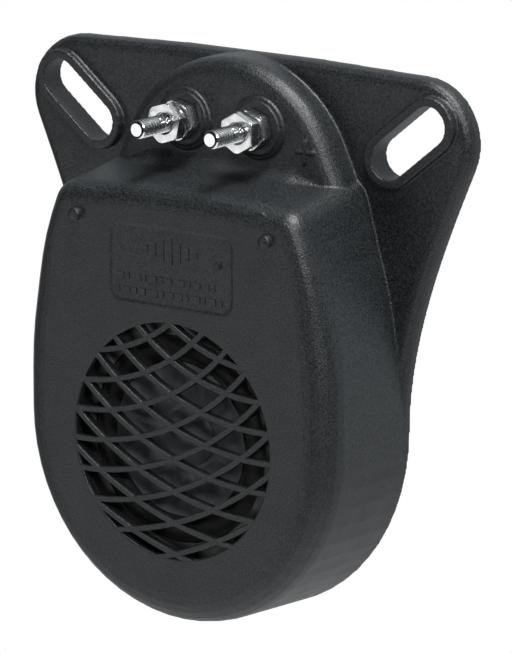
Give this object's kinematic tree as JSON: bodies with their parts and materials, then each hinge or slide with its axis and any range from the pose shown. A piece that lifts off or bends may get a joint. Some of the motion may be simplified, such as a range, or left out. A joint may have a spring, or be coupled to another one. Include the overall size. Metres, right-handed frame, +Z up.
{
  "type": "vehicle back-up alarm",
  "caption": "Black moulded back-up alarm with a slotted mounting flange, threaded stud terminals with nuts on an arched terminal face, and a deep speaker body with a curved-lattice grille.",
  "frame": {"origin": "on the flat rear mounting face, on the middle line, level with the terminal studs", "axes": "+X to the right seen from the front, +Z up, and +Y out of the rear face into the surface it is bolted to; the speaker faces -Y"},
  "size_m": [0.1388, 0.0385, 0.1449],
  "materials": {
    "black_moulding": "fine moulded grain, semi-matte",
    "cover_plastic": "matte",
    "potting_resin": "cast, glossy",
    "zinc_plate": "bright zinc plate",
    "tinned_copper": "satin",
    "black_rubber": "matte",
    "black_foam": "open-cell, matte",
    "painted_steel": "semi-gloss black",
    "dark_film": "satin polyester film",
    "brown_paper": "matte board",
    "copper_wire": "enamelled copper",
    "amber_cloth": "resin-treated cloth",
    "ferrite": "sintered, matte",
    "wire_insulation": "satin",
    "board_laminate": "solder mask",
    "chip_epoxy": "matte",
    "capacitor_sleeve": "shrink sleeve",
    "film_capacitor_case": "dipped epoxy",
    "resistor_coat": "lacquer"
  },
  "bodies": {
    "alarm_body": {"housing": "black_moulding", "rear_cover": "cover_plastic", "potting_layer": "potting_resin", "stud_left": "zinc_plate", "inner_nut_left": "zinc_plate", "stud_seal_left": "black_rubber", "ring_terminal_left": "tinned_copper", "power_lead_left": "wire_insulation", "stud_right": "zinc_plate", "inner_nut_right": "zinc_plate", "stud_seal_right": "black_rubber", "ring_terminal_right": "tinned_copper", "power_lead_right": "wire_insulation", "speaker_gasket": "black_foam", "speaker_frame": "painted_steel", "speaker_surround": "black_rubber", "terminal_strip": "brown_paper", "transformer_winding": "copper_wire", "speaker_spider": "amber_cloth", "top_plate": "zinc_plate", "back_plate": "zinc_plate", "speaker_screw_1": "zinc_plate", "speaker_screw_2": "zinc_plate", "speaker_screw_3": "zinc_plate", "speaker_screw_4": "zinc_plate", "board_screw_1": "zinc_plate", "board_screw_2": "zinc_plate", "board_screw_3": "zinc_plate", "board_screw_4": "zinc_plate", "speaker_magnet": "ferrite", "transformer_core": "ferrite", "speaker_lead_1": "wire_insulation", "speaker_lead_2": "wire_insulation", "circuit_board": "board_laminate", "timer_chip": "chip_epoxy", "power_transistor": "chip_epoxy", "diode": "chip_epoxy", "capacitor_large": "capacitor_sleeve", "capacitor_small": "capacitor_sleeve", "film_capacitor_1": "film_capacitor_case", "film_capacitor_2": "film_capacitor_case", "resistor_1": "resistor_coat", "resistor_2": "resistor_coat", "resistor_3": "resistor_coat"},
    "left_washer": {"lock_washer_left": "zinc_plate"},
    "left_wiring_nut": {"wiring_nut_left": "zinc_plate"},
    "right_washer": {"lock_washer_right": "zinc_plate"},
    "right_wiring_nut": {"wiring_nut_right": "zinc_plate"},
    "diaphragm": {"speaker_cone": "dark_film", "dust_cap": "dark_film", "coil_former": "brown_paper", "voice_coil": "copper_wire"}
  },
  "joints": [
    {"name": "left_washer_slide", "type": "slide", "parent": "alarm_body", "child": "left_washer", "axis": [0, -1, 0], "range_m": [0, 0.00952]},
    {"name": "left_nut_spin", "type": "hinge", "parent": "left_washer", "child": "left_wiring_nut", "pos_m": [-0.0115, -0.0227, 0], "axis": [0, -1, 0], "range_deg": [0, 3240]},
    {"name": "right_washer_slide", "type": "slide", "parent": "alarm_body", "child": "right_washer", "axis": [0, -1, 0], "range_m": [0, 0.00952]},
    {"name": "right_nut_spin", "type": "hinge", "parent": "right_washer", "child": "right_wiring_nut", "pos_m": [0.0115, -0.0227, 0], "axis": [0, -1, 0], "range_deg": [0, 3240]},
    {"name": "diaphragm_travel", "type": "slide", "parent": "alarm_body", "child": "diaphragm", "axis": [0, -1, 0], "range_m": [-0.0006, 0.0006], "stiffness_N_per_m": 1500}
  ],
  "couplings": [
    {"joint": "left_nut_spin", "follows": "left_washer_slide", "rad_per_m": 5936.9},
    {"joint": "right_nut_spin", "follows": "right_washer_slide", "rad_per_m": 5936.9}
  ]
}
